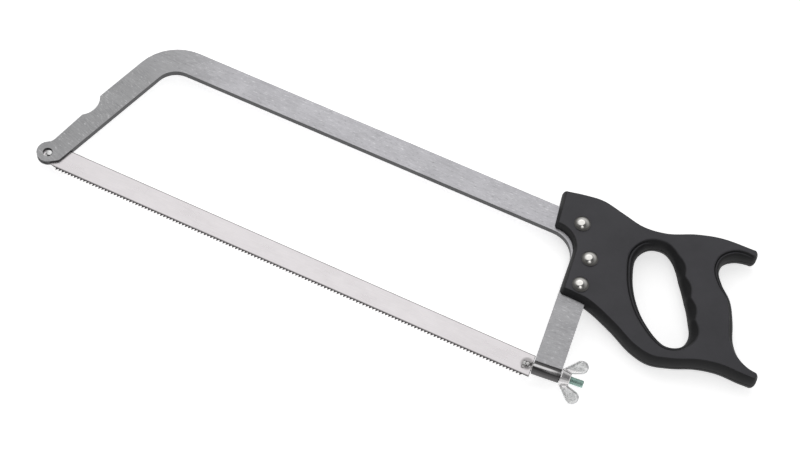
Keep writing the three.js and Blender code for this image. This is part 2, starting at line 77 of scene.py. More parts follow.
def toBlade(points):  # from the blade's own space (x along the blade, origin at the front pin)
    p = np.asarray(points, float)
    c, s = math.cos(bladeTilt), math.sin(bladeTilt)
    x = frontPin[0] + c * p[:, 0] - s * p[:, 1]
    y = frontPin[1] + s * p[:, 0] + c * p[:, 1]
    return np.column_stack([x, y, p[:, 2]])


def arcPoints(centre, radius, start, end, step=4.0):  # points of an arc, a step of so many degrees apart
    count = max(3, int(abs(end - start) / math.radians(step)) + 1)
    a = np.linspace(start, end, count)
    return np.column_stack([centre[0] + radius * np.cos(a), centre[1] + radius * np.sin(a)])


def roundCorner(before, corner, after, radius):  # arc tangent to both edges of a corner
    before, corner, after = (np.asarray(p, float)[:2] for p in (before, corner, after))
    back = (before - corner) / np.linalg.norm(before - corner)
    on = (after - corner) / np.linalg.norm(after - corner)
    half = math.acos(float(np.clip(back @ on, -1, 1))) / 2
    middle = (back + on) / np.linalg.norm(back + on)
    centre = corner + middle * radius / math.sin(half)
    start = corner + back * radius / math.tan(half)
    turn = -(math.pi - 2 * half) * np.sign(back[0] * on[1] - back[1] * on[0])
    a0 = math.atan2(start[1] - centre[1], start[0] - centre[0])
    return arcPoints(centre, radius, a0, a0 + turn)


def runLength(points):  # distance along a line of points
    return np.concatenate([[0], np.cumsum(np.linalg.norm(np.diff(points[:, :2], axis=0), axis=1))])


def spaced(points, run, places):  # every column of the points at given distances along them
    return np.column_stack([np.interp(places, run, column) for column in points.T])


def smoothCurve(points, count, closed=False, perSpan=40):  # centripetal spline, evenly spaced
    p = np.asarray(points, float)
    if closed:
        p = np.vstack([p[-1], p, p[0], p[1]])
    else:
        p = np.vstack([2 * p[0] - p[1], p, 2 * p[-1] - p[-2]])
    gaps = np.sqrt(np.linalg.norm(np.diff(p[:, :2], axis=0), axis=1))
    k = np.concatenate([[0], np.cumsum(gaps)])
    spans = [np.linspace(k[i], k[i + 1], perSpan, endpoint=False) for i in range(1, len(p) - 2)]
    t = np.concatenate(spans + [[k[-2]]])
    i = np.clip(np.searchsorted(k, t, side="right") - 1, 1, len(p) - 3)

    def lerp(a, b, ta, tb):
        w = ((t - ta) / (tb - ta))[:, None]
        return a * (1 - w) + b * w
    a1 = lerp(p[i - 1], p[i], k[i - 1], k[i])
    a2 = lerp(p[i], p[i + 1], k[i], k[i + 1])
    a3 = lerp(p[i + 1], p[i + 2], k[i + 1], k[i + 2])
    b1 = lerp(a1, a2, k[i - 1], k[i + 1])
    b2 = lerp(a2, a3, k[i], k[i + 2])
    curve = lerp(b1, b2, k[i], k[i + 1])
    run = runLength(curve)
    out = spaced(curve, run, np.linspace(0, run[-1], count + 1))
    return out[:-1] if closed else out


def setIn(loop, distance, mitre=0.7, straight=0.05):  # outline moved right by a distance for each point
    p = loop[:, :2]
    n = len(p)
    step = np.roll(p, -1, 0) - p
    ahead = step / np.linalg.norm(step, axis=1, keepdims=True)
    along = np.roll(ahead, 1, 0) + ahead
    along /= np.linalg.norm(along, axis=1, keepdims=True)
    d = distance / np.maximum(mitre, (along * ahead).sum(1))
    q = np.column_stack([p[:, 0] + along[:, 1] * d, p[:, 1] - along[:, 0] * d])
    back = ((np.roll(q, -1, 0) - q) * step).sum(1) < 0
    for i in np.flatnonzero(back & ~np.roll(back, 1)):  # a stretch that turns back closes to one point
        j = i + int(np.argmin(np.roll(back, -i)))
        before, after = ahead[(i - 1) % n], ahead[j % n]
        gap = q[j % n] - q[i]
        turn = before[0] * after[1] - before[1] * after[0]
        meet = q[i] + gap / 2
        if abs(turn) > straight:
            meet = q[i] + before * ((gap[0] * after[1] - gap[1] * after[0]) / turn)
        q[np.arange(i, j + 1) % n] = meet
    return q


def loopGrid(rows, columns, base=0, flip=False):  # quads between closed rings, one above the other
    r, c = np.meshgrid(np.arange(rows - 1), np.arange(columns), indexing="ij")
    n = (c + 1) % columns
    a, b = r * columns + c, r * columns + n
    quads = np.stack([a, b, b + columns, a + columns], -1).reshape(-1, 4) + base
    return (quads[:, ::-1] if flip else quads).tolist()


def fillFlat(loops, bases, up, least=1e-6):  # flat lid over an outline with holes, as triangles
    keep = [np.linalg.norm(loop - np.roll(loop, 1, 0), axis=1) > least for loop in loops]
    kept = [loop[k] for loop, k in zip(loops, keep)]
    number = np.concatenate([np.flatnonzero(k) + b for k, b in zip(keep, bases)])
    t = np.array(tessellate_polygon([[Vector((x, y, 0)) for x, y in loop] for loop in kept]))
    flat = np.vstack(kept)
    e1, e2 = flat[t[:, 1]] - flat[t[:, 0]], flat[t[:, 2]] - flat[t[:, 0]]
    wrong = (e1[:, 0] * e2[:, 1] - e1[:, 1] * e2[:, 0] > 0) != up
    t[wrong] = t[wrong][:, ::-1]
    return number[t].tolist()


def turned(profile, sides):  # (place, radius) pairs turned about the x axis; ends on the axis become poles
    profile = np.asarray(profile, float)
    a = np.linspace(0, 2 * math.pi, sides, endpoint=False)
    x = np.repeat(profile[:, :1], sides, 1)
    y = profile[:, 1:] * np.cos(a)
    z = profile[:, 1:] * np.sin(a)
    return np.stack([x, y, z], -1).reshape(-1, 3), loopGrid(len(profile), sides, flip=True)


def easedEnds(start, stop, radius, ease):  # profile of a round bar with both rims eased
    small = ease * 0.3  # halfway round the easing
    return [(start, radius - ease), (start + small, radius - small), (start + ease, radius),
            (stop - ease, radius), (stop - small, radius - small), (stop, radius - ease)]


# putting shapes into the scene
def addPiece(name, points, faces, body, node, materials, sharp=35.0, shade=None):
    mesh = bpy.data.meshes.new(name)
    mesh.from_pydata(toMetres(points).tolist(), [], faces)
    if shade is not None:  # a value for each point, read by the material
        mesh.attributes.new("shade", "FLOAT", "POINT").data.foreach_set("value", shade)
    bm = bmesh.new()
    bm.from_mesh(mesh)
    bmesh.ops.remove_doubles(bm, verts=bm.verts, dist=mergeGap)
    bmesh.ops.dissolve_degenerate(bm, edges=bm.edges, dist=mergeGap)
    bmesh.ops.recalc_face_normals(bm, faces=bm.faces)
    bm.to_mesh(mesh)
    bm.free()
    return finishPiece(name, mesh, body, node, materials, sharp)


def finishPiece(name, mesh, body, node, materials, sharp=35.0):
    mesh.shade_smooth()
    mesh.set_sharp_from_angle(angle=math.radians(sharp))
    piece = bpy.data.objects.new(name, mesh)
    bpy.context.scene.collection.objects.link(piece)
    for material in materials:
        mesh.materials.append(material)
    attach(piece, body)
    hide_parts(node)
    return piece


def flattened(bm, within=0.6):  # faces in one plane, to so many degrees, become one face
    bmesh.ops.dissolve_limit(bm, angle_limit=math.radians(within), verts=bm.verts, edges=bm.edges)


def copyOfNode(node):  # merged copy of a solid, with an edit mesh to go on with
    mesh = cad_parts[node].data.copy()
    mesh.materials.clear()
    bm = bmesh.new()
    bm.from_mesh(mesh)
    bmesh.ops.remove_doubles(bm, verts=bm.verts, dist=mergeGap)
    return mesh, bm


# shader nodes
def feed(tree, socket, value):  # a link where the value is a socket, otherwise a fixed value
    if isinstance(value, bpy.types.NodeSocket):
        tree.links.new(value, socket)
    else:
        socket.default_value = value


def math2(tree, kind, a, b, clamp=False):
    node = tree.nodes.new("ShaderNodeMath")
    node.operation = kind
    node.use_clamp = clamp
    feed(tree, node.inputs[0], a)
    feed(tree, node.inputs[1], b)
    return node.outputs[0]


def weighted(tree, a, shareA, b, shareB):
    return math2(tree, "ADD", math2(tree, "MULTIPLY", a, shareA), math2(tree, "MULTIPLY", b, shareB))


def vectorMath(tree, kind, a, b=None):
    node = tree.nodes.new("ShaderNodeVectorMath")
    node.operation = kind
    feed(tree, node.inputs[0], a)
    if b is not None:
        feed(tree, node.inputs[1], b)
    return node.outputs["Value" if kind in ("DOT_PRODUCT", "DISTANCE", "LENGTH") else "Vector"]


def noiseAt(tree, vector, scale, detail, rough):
    node = tree.nodes.new("ShaderNodeTexNoise")
    node.inputs["Scale"].default_value = scale
    node.inputs["Detail"].default_value = detail
    node.inputs["Roughness"].default_value = rough
    tree.links.new(vector, node.inputs["Vector"])
    return node.outputs["Fac"]


def remap(tree, value, low, high, toLow, toHigh):
    node = tree.nodes.new("ShaderNodeMapRange")
    for label, v in (("From Min", low), ("From Max", high), ("To Min", toLow), ("To Max", toHigh)):
        node.inputs[label].default_value = v
    tree.links.new(value, node.inputs["Value"])
    return node.outputs["Result"]


def byCloud(tree, cloud, low, high):  # a value that follows the broad noise
    return remap(tree, cloud, 0.3, 0.7, low, high)


def toneOf(tree, lines, cloud, cloudy, spread=0.15):  # fine lines and broad clouds as one mask
    fine = remap(tree, lines, 0.5 - spread, 0.5 + spread, 0, 1)
    return weighted(tree, fine, 1 - cloudy, byCloud(tree, cloud, 0, 1), cloudy)


def mapped(tree, vector, turn=0.0, scale=(1, 1, 1)):
    node = tree.nodes.new("ShaderNodeMapping")
    node.vector_type = "POINT"
    node.inputs["Rotation"].default_value = (0, 0, math.radians(turn))
    node.inputs["Scale"].default_value = scale
    tree.links.new(vector, node.inputs["Vector"])
    return node.outputs["Vector"]


def mixValue(tree, factor, a, b):
    node = tree.nodes.new("ShaderNodeMix")
    for index, value in ((0, factor), (2, a), (3, b)):
        feed(tree, node.inputs[index], value)
    return node.outputs[0]


def mixColour(tree, factor, a, b):
    node = tree.nodes.new("ShaderNodeMix")
    node.data_type = "RGBA"
    sockets = [s for s in node.inputs if s.enabled]
    for socket, value in zip(sockets, (factor, a, b)):
        feed(tree, socket, (*value, 1.0) if isinstance(value, tuple) else value)
    return [s for s in node.outputs if s.enabled][0]


def shadeOf(tree):  # the value that a piece's points carry
    node = tree.nodes.new("ShaderNodeAttribute")
    node.attribute_name = "shade"
    return node.outputs["Fac"]


# brushed metal: long fine lines along x, cloudy stains, a few crossing scratches, and flecks
def brushedGroup():
    group = bpy.data.node_groups.new("brushedLines", "ShaderNodeTree")
    for label, kind in (("Vector", "NodeSocketVector"), ("Scratch Amount", "NodeSocketFloat")):
        group.interface.new_socket(name=label, in_out="INPUT", socket_type=kind)
    given = group.nodes.new("NodeGroupInput").outputs
    v = given["Vector"]

    def streaks(scale, detail, rough, turn=0):  # noise stretched by a scale for each axis
        return noiseAt(group, mapped(group, v, turn, scale), 1.0, detail, rough)
    long = streaks((60, 2600, 2600), detail=4.0, rough=0.65)
    short = streaks((420, 3800, 3800), detail=3.0, rough=0.6)
    cross = streaks((90, 1700, 900), detail=2.0, rough=0.5, turn=63)
    cloud = noiseAt(group, mapped(group, v, scale=(1, 1.6, 1)), scale=38.0, detail=4.0, rough=0.6)
    scratch = math2(group, "MULTIPLY", remap(group, cross, 0.66, 0.76, 0, 1), given["Scratch Amount"])
    results = dict(
        Lines=weighted(group, long, 0.6, short, 0.4), Cloud=cloud, Scratch=scratch,
        Fleck=streaks((220, 720, 600), detail=3.0, rough=0.7),
    )
    for label in results:
        group.interface.new_socket(name=label, in_out="OUTPUT", socket_type="NodeSocketFloat")
    end = group.nodes.new("NodeGroupOutput")
    for label, value in results.items():
        group.links.new(value, end.inputs[label])
    return group


brushedLines = brushedGroup()


def brushed(tree, vector, scratch=0.0):
    node = tree.nodes.new("ShaderNodeGroup")
    node.node_tree = brushedLines
    tree.links.new(vector, node.inputs["Vector"])
    node.inputs["Scratch Amount"].default_value = scratch
    return node.outputs


def startMaterial(name):
    material = bpy.data.materials.new(name)
    material.use_nodes = True
    tree = material.node_tree
    shader = tree.nodes["Principled BSDF"]
    coords = tree.nodes.new("ShaderNodeTexCoord").outputs["Object"]
    return material, tree, shader, coords


def setSurface(tree, shader, colour, rough, metal=1.0):
    tree.links.new(colour, shader.inputs["Base Color"])
    tree.links.new(rough, shader.inputs["Roughness"])
    shader.inputs["Metallic"].default_value = metal


def addBump(tree, shader, height, strength, depth):  # depth in millimetres
    bump = tree.nodes.new("ShaderNodeBump")
    bump.inputs["Strength"].default_value = strength
    bump.inputs["Distance"].default_value = depth / 1000
    tree.links.new(height, bump.inputs["Height"])
    tree.links.new(bump.outputs["Normal"], shader.inputs["Normal"])


def metalMaterial(name, dark, light, rough, grain=0.0, cloudy=0.25):  # the grain's turn is in degrees
    scratch, scratchGlint, spread, bump, depth = 0.12, 1.25, 0.05, 0.06, 0.2
    material, tree, shader, coords = startMaterial(name)
    marks = brushed(tree, mapped(tree, coords, grain), scratch)
    colour = mixColour(tree, toneOf(tree, marks["Lines"], marks["Cloud"], cloudy), dark, light)
    colour = mixColour(tree, marks["Scratch"], colour, tuple(min(1, c * scratchGlint) for c in light))
    setSurface(tree, shader, colour, byCloud(tree, marks["Cloud"], rough - spread, rough + spread))
    addBump(tree, shader, marks["Lines"], bump, depth)
    return material


def paintedReflectionMaterial(name, look):  # bright metal, dark where the points' shade is high
    # the points' shade is a painted reflection: a dark rim on the rivets, a bright highlight strip on the
    # barrel
    material, tree, shader, coords = startMaterial(name)
    marks = brushed(tree, coords)
    bright = mixColour(tree, byCloud(tree, marks["Cloud"], 0, 1), look["dark"], look["light"])
    uneven = math2(tree, "MULTIPLY", shadeOf(tree), byCloud(tree, marks["Cloud"], 0.85, 1.15), True)
    colour = mixColour(tree, uneven, bright, look["darkTone"])
    setSurface(tree, shader, colour, remap(tree, uneven, 0, 1, look["rough"], look["darkToneRough"]))
    addBump(tree, shader, marks["Lines"], look["bump"], look["bumpDepth"])
    return material


print("shader nodes ready")

# bow: the bar's own shape with eased edges, with painted shade on its cut edges
bowLook = dict(
    edgeRound=0.55, edgeSteps=3, edgeAngle=30, edgeRough=0.5, edgeCloudy=0.5,
    # the cut edges' dark colours are painted shade
    edgeShadeDark=(0.06, 0.06, 0.062), edgeShadeLight=(0.13, 0.13, 0.133),
    dark=(0.332, 0.328, 0.344), light=(0.584, 0.577, 0.604), cloudy=0.5, toneSpread=0.14,
    rough=0.34, roughSpread=0.06, bump=0.12, bumpDepth=0.2,
    # the leg colours are painted shade, a darker copy of the bar's; the bend and rear shares set how much
    # bright tone comes back
    legShadeDark=(0.225, 0.225, 0.23), legShadeLight=(0.42, 0.42, 0.426), legGrain=(18, -5),
    legTop=108, barStart=134, frontLegEnd=58, rearFrom=20, bendEnd=60, bendLitShare=0.2, rearLitShare=0.3,
    scratch=0.5, scratchColour=(0.7, 0.7, 0.71), speck=0.52, speckColour=(0.76, 0.755, 0.77),
    pitColour=(0.2, 0.2, 0.2), speckFrom=(0.59, 0.68), pitFrom=(0.4, 0.31),
)


def bowMaterial(name, look):  # brushed along the top bar and across both legs
    material, tree, shader, coords = startMaterial(name)
    split = tree.nodes.new("ShaderNodeSeparateXYZ")
    tree.links.new(coords, split.inputs[0])
    height = math2(tree, "SUBTRACT", split.outputs["Y"], bossCentre[1] / 1000)
    past = math2(tree, "SUBTRACT", split.outputs["X"], (bossCentre[0] + look["frontLegEnd"]) / 1000)
    onTop = remap(tree, height, look["legTop"] / 1000, look["barStart"] / 1000, 0, 1)
    onRear = remap(tree, past, 0, look["rearFrom"] / 1000, 0, 1)
    # the front bend gets painted shade
    bendLit = remap(tree, past, look["rearFrom"] / 1000, look["bendEnd"] / 1000, look["bendLitShare"], 1)
    turns = (0, *look["legGrain"])
    top, front, rear = (brushed(tree, mapped(tree, coords, turn), look["scratch"]) for turn in turns)

    def byPlace(label):
        leg = mixValue(tree, onRear, front[label], rear[label])
        return mixValue(tree, onTop, leg, top[label])
    lines, cloud, scratch, fleck = (byPlace(label) for label in ("Lines", "Cloud", "Scratch", "Fleck"))
    tone = toneOf(tree, lines, cloud, look["cloudy"], look["toneSpread"])
    bright = mixColour(tree, tone, look["dark"], look["light"])
    # painted shade: the legs take a darker copy of the bar's tone, lifted a little toward the rear
    shadedLeg = mixColour(tree, tone, look["legShadeDark"], look["legShadeLight"])
    shadedLeg = mixColour(tree, math2(tree, "MULTIPLY", onRear, look["rearLitShare"]), shadedLeg, bright)
    colour = mixColour(tree, math2(tree, "MULTIPLY", onTop, bendLit), shadedLeg, bright)
    colour = mixColour(tree, scratch, colour, look["scratchColour"])
    specks = remap(tree, fleck, *look["speckFrom"], 0, look["speck"])
    colour = mixColour(tree, specks, colour, look["speckColour"])
    pits = remap(tree, fleck, *look["pitFrom"], 0, look["speck"])
    colour = mixColour(tree, pits, colour, look["pitColour"])
    rough, spread = look["rough"], look["roughSpread"]
    setSurface(tree, shader, colour, byCloud(tree, cloud, rough - spread, rough + spread))
    addBump(tree, shader, lines, look["bump"], look["bumpDepth"])
    return material


bowMesh, bm = copyOfNode("bow_frame")
flattened(bm)
bm.to_mesh(bowMesh)
bm.free()
barMetal = bowMaterial("brushedBar", bowLook)
barEdgeShade = metalMaterial("barEdgePaintedShade", bowLook["edgeShadeDark"], bowLook["edgeShadeLight"], bowLook["edgeRough"],
                        cloudy=bowLook["edgeCloudy"])
bow = finishPiece("bow", bowMesh, "frame", "bow_frame", [barMetal, barEdgeShade])
normals = np.empty(len(bowMesh.polygons) * 3)
bowMesh.polygons.foreach_get("normal", normals)
upright = np.abs(normals.reshape(-1, 3)[:, 2]) < 0.5  # the bar's cut edges
# the cut edges and their bevel take the dark edge material: painted shade
bowMesh.polygons.foreach_set("material_index", upright.astype(np.int32))
eased = bow.modifiers.new("softEdge", "BEVEL")
eased.width = bowLook["edgeRound"] / 1000
eased.segments = bowLook["edgeSteps"]
eased.limit_method = "ANGLE"
eased.angle_limit = math.radians(bowLook["edgeAngle"])
eased.material = 1
print("bow made")

# blade: strip with a round nose and set teeth
bladeLook = dict(
    height=23.0, thickness=0.9, noseRadius=7.5, shoulder=11.1, tail=4.3, frontHole=3.05, rearHole=2.1,
    chamfer=0.4, chamferRise=0.7, nosePoints=28, holePoints=48,
    toothPitch=3.175, toothDepth=1.7, toothMargin=1.6, toothSet=0.22,
    toothRoot=-0.1, tipStart=0.05, tipEnd=0.45, toothHeel=0.72,  # the heel as a share of the pitch
    dark=(0.63, 0.603, 0.614), light=(0.79, 0.76, 0.772), cloudy=0.55,
    rough=0.3, roughSpread=0.05, bump=0.02, bumpDepth=0.1,
    # band: painted shade along the teeth, also darker along the back; the hook's colours are a painted shadow
    # round the hook
    band=(0.07, 0.066, 0.066), bandTop=-8.1, bandFade=1.3, backLine=10.5, backFade=0.5, backDark=0.75,
    hookShadowAt=(-0.6, 1.3), hookShadowReach=6.9, hookShadowFade=2.0, hookShadowDark=0.6, hookShadowColour=(0.16, 0.152, 0.152),
    # the edge colours are painted shade on the walls and chamfers
    edgeShadeDark=(0.1, 0.095, 0.095), edgeShadeLight=(0.22, 0.21, 0.21), edgeRough=0.4, edgeCloudy=0.5,
)


def bladeMaterial(name, look):  # bright strip, dark along its teeth and back and where the hook sits
    material, tree, shader, coords = startMaterial(name)
    marks = brushed(tree, coords)
    tone = toneOf(tree, marks["Lines"], marks["Cloud"], look["cloudy"])
    colour = mixColour(tree, tone, look["dark"], look["light"])
    upward = np.array([-math.sin(bladeTilt), math.cos(bladeTilt), 0])
    middle = float(toMetres(toBlade([[0, 0, 0]]))[0] @ upward)
    height = math2(tree, "SUBTRACT", vectorMath(tree, "DOT_PRODUCT", coords, upward.tolist()), middle)
    bandTop, backLine, reach = (look[k] / 1000 for k in ("bandTop", "backLine", "hookShadowReach"))
    # painted shade along the teeth
    band = remap(tree, height, bandTop, bandTop - look["bandFade"] / 1000, 0, 1)
    colour = mixColour(tree, band, colour, look["band"])
    back = remap(tree, height, backLine, backLine + look["backFade"] / 1000, 0, look["backDark"])
    colour = mixColour(tree, back, colour, look["band"])
    # painted shadow of the hook on the blade round the rear pin
    hook = toMetres(toBlade([[sawPlan["pinSpan"] + look["hookShadowAt"][0], look["hookShadowAt"][1], 0]]))[0]
    away = vectorMath(tree, "DISTANCE", coords, hook.tolist())
    hookShadow = remap(tree, away, reach, reach - look["hookShadowFade"] / 1000, 0, look["hookShadowDark"])
    colour = mixColour(tree, hookShadow, colour, look["hookShadowColour"])
    rough, spread = look["rough"], look["roughSpread"]
    setSurface(tree, shader, colour, byCloud(tree, marks["Cloud"], rough - spread, rough + spread))
    addBump(tree, shader, marks["Lines"], look["bump"], look["bumpDepth"])
    return material


def bladeLoops(look, inset, toothInset):  # the strip's outline with its row of teeth, and its two holes
    half, end = look["height"] / 2, sawPlan["pinSpan"] + look["tail"]
    pitch, slope, radius = look["toothPitch"], math.tan(lean), look["noseRadius"] - inset
    low, tip, high = look["toothDepth"] - half + toothInset, toothInset - half, half - inset
    count = int((end - look["shoulder"] - 2 * look["toothMargin"]) // pitch)
    x = look["shoulder"] + look["toothMargin"] + np.arange(count)[:, None] * pitch
    tooth = np.array([(look["toothRoot"], low), (look["tipStart"] + toothInset, tip), (look["tipEnd"], tip),
                      (look["toothHeel"] * pitch, low)])
    teeth = np.stack([x + tooth[:, 0], np.broadcast_to(tooth[:, 1], (count, 4))], -1).reshape(-1, 2)
    corner = np.array([look["shoulder"], high])
    a0 = math.atan2(corner[1], corner[0]) + math.acos(radius / np.linalg.norm(corner))
    a = np.linspace(a0, 2 * math.pi - a0, look["nosePoints"])
    nose = np.column_stack([np.cos(a), np.sin(a)]) * radius
    outline = np.vstack([[look["shoulder"], low], teeth, [end - inset - low * slope, low],
                         [end - inset - high * slope, high], corner, nose])
    a = np.linspace(0, -2 * math.pi, look["holePoints"], endpoint=False)
    ring = np.column_stack([np.cos(a), np.sin(a)])
    rearHole = ring * (look["rearHole"] + inset) + [sawPlan["pinSpan"], 0]
    return [outline, ring * (look["frontHole"] + inset), rearHole], count


def bladeShape(look):  # the outline in four layers, so that every edge has a small chamfer
    outer, count = bladeLoops(look, 0, 0)
    inner, _ = bladeLoops(look, look["chamfer"], look["chamfer"] / 3)
    sizes = np.array([len(loop) for loop in outer])
    bases = np.concatenate([[0], np.cumsum(sizes)[:-1]])
    total, high = sizes.sum(), look["thickness"] / 2
    side = np.where(np.arange(count) % 2, 1, -1)[:, None]  # teeth are bent to either side in turn
    swing = side * np.array([0, 1, 1, 0]) * look["toothSet"]
    swings = np.concatenate([[0], swing.ravel(), np.zeros(total - 1 - swing.size)])
    rim = high - look["chamfer"] * look["chamferRise"]
    layers = ((inner, -high), (outer, -rim), (outer, rim), (inner, high))
    points = np.vstack([np.column_stack([np.vstack(flat), z + swings]) for flat, z in layers])
    here = np.arange(total) + np.arange(len(layers) - 1)[:, None] * total
    ahead = np.concatenate([base + (np.arange(size) + 1) % size for size, base in zip(sizes, bases)])
    ahead = ahead + np.arange(len(layers) - 1)[:, None] * total
    walls = np.stack([here, ahead, ahead + total, here + total], -1).reshape(-1, 4).tolist()
    flats = fillFlat(inner, bases, False) + fillFlat(inner, bases + 3 * total, True)
    return points, flats + walls, len(flats)


points, faces, flatCount = bladeShape(bladeLook)
bladeMesh = bpy.data.meshes.new("blade")
bladeMesh.from_pydata(toMetres(toBlade(points)).tolist(), [], faces)
bladeMetal = bladeMaterial("brightBlade", bladeLook)
# the walls and chamfers take this dark edge material: painted shade
bladeEdgeShade = metalMaterial("bladeEdgePaintedShade", bladeLook["edgeShadeDark"], bladeLook["edgeShadeLight"],
                          bladeLook["edgeRough"], cloudy=bladeLook["edgeCloudy"])
finishPiece("sawBlade", bladeMesh, "blade", "blade", [bladeMetal, bladeEdgeShade], sharp=25.0)
bladeMesh.polygons.foreach_set("material_index", (np.arange(len(faces)) >= flatCount).astype(np.int32))

# plain steel of the rod, which the rear pin shares
rodLook = dict(dark=(0.28, 0.276, 0.274), light=(0.62, 0.61, 0.605), rough=0.24, grain=-5)
rodMetal = metalMaterial("plainRod", rodLook["dark"], rodLook["light"], rodLook["rough"], rodLook["grain"])

# cross pins: bright in the boss, as dark as the hook at the rear
pinLook = dict(
    frontRadius=2.75, frontLength=6.95, rearRadius=1.8, rearLength=8.0, ease=0.35, sides=48,
    dark=(0.6, 0.6, 0.6), light=(0.85, 0.85, 0.85), rough=0.28,
)


def addPin(name, node, place, radius, length, metal):
    h = length / 2
    p, f = turned([(-h, 0), *easedEnds(-h, h, radius, pinLook["ease"]), (h, 0)], pinLook["sides"])
    across = np.column_stack([p[:, 1] + place, p[:, 2], p[:, 0]])
    addPiece(name, toBlade(across), f, "blade", node, [metal])


pinMetal = metalMaterial("brightPin", pinLook["dark"], pinLook["light"], pinLook["rough"])
addPin("frontPin", "blade_front_pin", 0, pinLook["frontRadius"], pinLook["frontLength"], pinMetal)
addPin("rearPin", "blade_rear_pin", sawPlan["pinSpan"], pinLook["rearRadius"], pinLook["rearLength"],
       rodMetal)
print("blade made")

# barrel: dark tube with a painted highlight, a bright strip along either side
barrelLook = dict(
    radius=6.1, bore=4.3, ease=0.7, sides=144, highlightAt=91.0, highlightHalf=7.0, highlightFade=8.0,
    # the bright colours paint the highlight strip; the dark tone is the tube's own
    dark=(0.44, 0.433, 0.437), light=(0.66, 0.65, 0.655), rough=0.22,
    darkTone=(0.105, 0.103, 0.104), darkToneRough=0.26, bump=0.08, bumpDepth=0.1,
)
start, stop = sawPlan["hookReach"], sawPlan["hookReach"] + sawPlan["barWidth"]
bore = barrelLook["bore"]
rims = easedEnds(start, stop, barrelLook["radius"], barrelLook["ease"])
p, f = turned([(start, bore), *rims, (stop, bore), (start, bore)], barrelLook["sides"])
# painted highlight: bright at this angle round the axis, dark elsewhere
around = np.abs(np.degrees(np.arctan2(p[:, 2], p[:, 1])))
offHighlight = np.abs(around - barrelLook["highlightAt"]) - barrelLook["highlightHalf"]
dark = np.clip(offHighlight / barrelLook["highlightFade"], 0, 1)
barrelMetal = paintedReflectionMaterial("darkBarrel", barrelLook)
addPiece("barrel", toTension(p), f, "frame", "tension_barrel", [barrelMetal], shade=dark)

# rod: the solid's hooked front, then a cut thread
threadLook = dict(
    start=21.2, end=51.8, crest=3.72, root=3.2, pitch=1.0, rowsPerTurn=8, sides=48, overlap=0.4,
    steep=1.35, rootFlat=0.15, chamfer=0.8, runIn=1.0, runInDrop=0.3,
    dark=(0.24, 0.36, 0.325), light=(0.66, 0.8, 0.75), rough=0.17,
)


def threadShape(look):  # radius falls and rises along a helix: a V groove of one pitch per turn
    rows = int((look["end"] - look["start"]) / look["pitch"] * look["rowsPerTurn"]) + 1
    x = np.linspace(look["start"], look["end"], rows)
    x = np.concatenate([x[:1], x, x[-1:]])[:, None]
    a = np.linspace(0, 2 * math.pi, look["sides"], endpoint=False)[None, :]
    wave = np.abs(((x / look["pitch"] - a / (2 * math.pi)) % 1.0) * 2 - 1)
    depth = np.clip(wave * look["steep"] - look["rootFlat"], 0, 1)
    radius = look["root"] + (look["crest"] - look["root"]) * depth
    fromEnd = np.clip(x - (look["end"] - look["chamfer"]), 0, None)
    fromStart = np.clip(look["start"] + look["runIn"] - x, 0, None) * look["runInDrop"]
    radius = np.minimum(radius, look["crest"] - np.maximum(fromEnd, fromStart))
    radius[[0, -1]] = 0  # poles that close the ends
    points = np.stack([x + 0 * a, radius * np.cos(a), radius * np.sin(a)], -1).reshape(-1, 3)
    return points, loopGrid(rows + 2, look["sides"], flip=True)


rodMesh, bm = copyOfNode("tension_rod")
cutAt = Vector(toMetres(toTension([[threadLook["start"] + threadLook["overlap"], 0, 0]]))[0])
everything = bm.verts[:] + bm.edges[:] + bm.faces[:]
bmesh.ops.bisect_plane(bm, geom=everything, plane_co=cutAt, plane_no=Vector((*rodAlong, 0)), clear_outer=True)
bmesh.ops.holes_fill(bm, edges=[e for e in bm.edges if e.is_boundary], sides=0)
flattened(bm)
bmesh.ops.recalc_face_normals(bm, faces=bm.faces)
bm.to_mesh(rodMesh)
bm.free()
finishPiece("rod", rodMesh, "rod", "tension_rod", [rodMetal], sharp=30.0)
p, f = threadShape(threadLook)
threadMetal = metalMaterial("zincThread", threadLook["dark"], threadLook["light"], threadLook["rough"],
                            rodLook["grain"])
addPiece("rodThread", toTension(p), f, "rod", "tension_rod", [threadMetal], sharp=50.0)

# wing nut: the solid with sunk panels in its wings, softened like a casting
nutLook = dict(
    voxel=0.3, smooth=5, softness=0.5, panelInset=1.0, panelDepth=0.5, panels=4,
    dark=(0.58, 0.585, 0.585), light=(0.95, 0.955, 0.955), blotchFrom=(0.35, 0.65),
    speck=(0.2, 0.21, 0.21), speckFrom=(0.47, 0.36), speckShare=0.9,
    rough=0.34, roughSpread=0.08, metal=0.85, bump=0.12, bumpDepth=0.4,
    hub=8.3, hubFade=1.2, hubColour=(0.76, 0.745, 0.75), hubRough=0.15,
)


def castMaterial(name, look):  # pale zinc, dark specks in a grainy skin, smoother round the hub
    material, tree, shader, coords = startMaterial(name)
    grain = noiseAt(tree, coords, scale=1100.0, detail=4.0, rough=0.65)
    blotch = noiseAt(tree, coords, scale=260.0, detail=4.0, rough=0.6)
    colour = mixColour(tree, remap(tree, blotch, *look["blotchFrom"], 0, 1), look["dark"], look["light"])
    specks = remap(tree, grain, *look["speckFrom"], 0, look["speckShare"])
    colour = mixColour(tree, specks, colour, look["speck"])
    offset = vectorMath(tree, "SUBTRACT", coords, toMetres(toTension([[0, 0, 0]]))[0].tolist())
    away = vectorMath(tree, "LENGTH", vectorMath(tree, "CROSS_PRODUCT", offset, (*rodAlong.tolist(), 0)))
    hub = remap(tree, away, look["hub"] / 1000, (look["hub"] + look["hubFade"]) / 1000, 1, 0)
    colour = mixColour(tree, hub, colour, look["hubColour"])
    rough, spread = look["rough"], look["roughSpread"]
    smoother = math2(tree, "MULTIPLY", hub, rough - look["hubRough"])
    skin = byCloud(tree, blotch, rough - spread, rough + spread)
    setSurface(tree, shader, colour, math2(tree, "SUBTRACT", skin, smoother), look["metal"])
    height = math2(tree, "MULTIPLY", grain, math2(tree, "SUBTRACT", 1.0, hub))
    addBump(tree, shader, height, look["bump"], look["bumpDepth"])
    return material


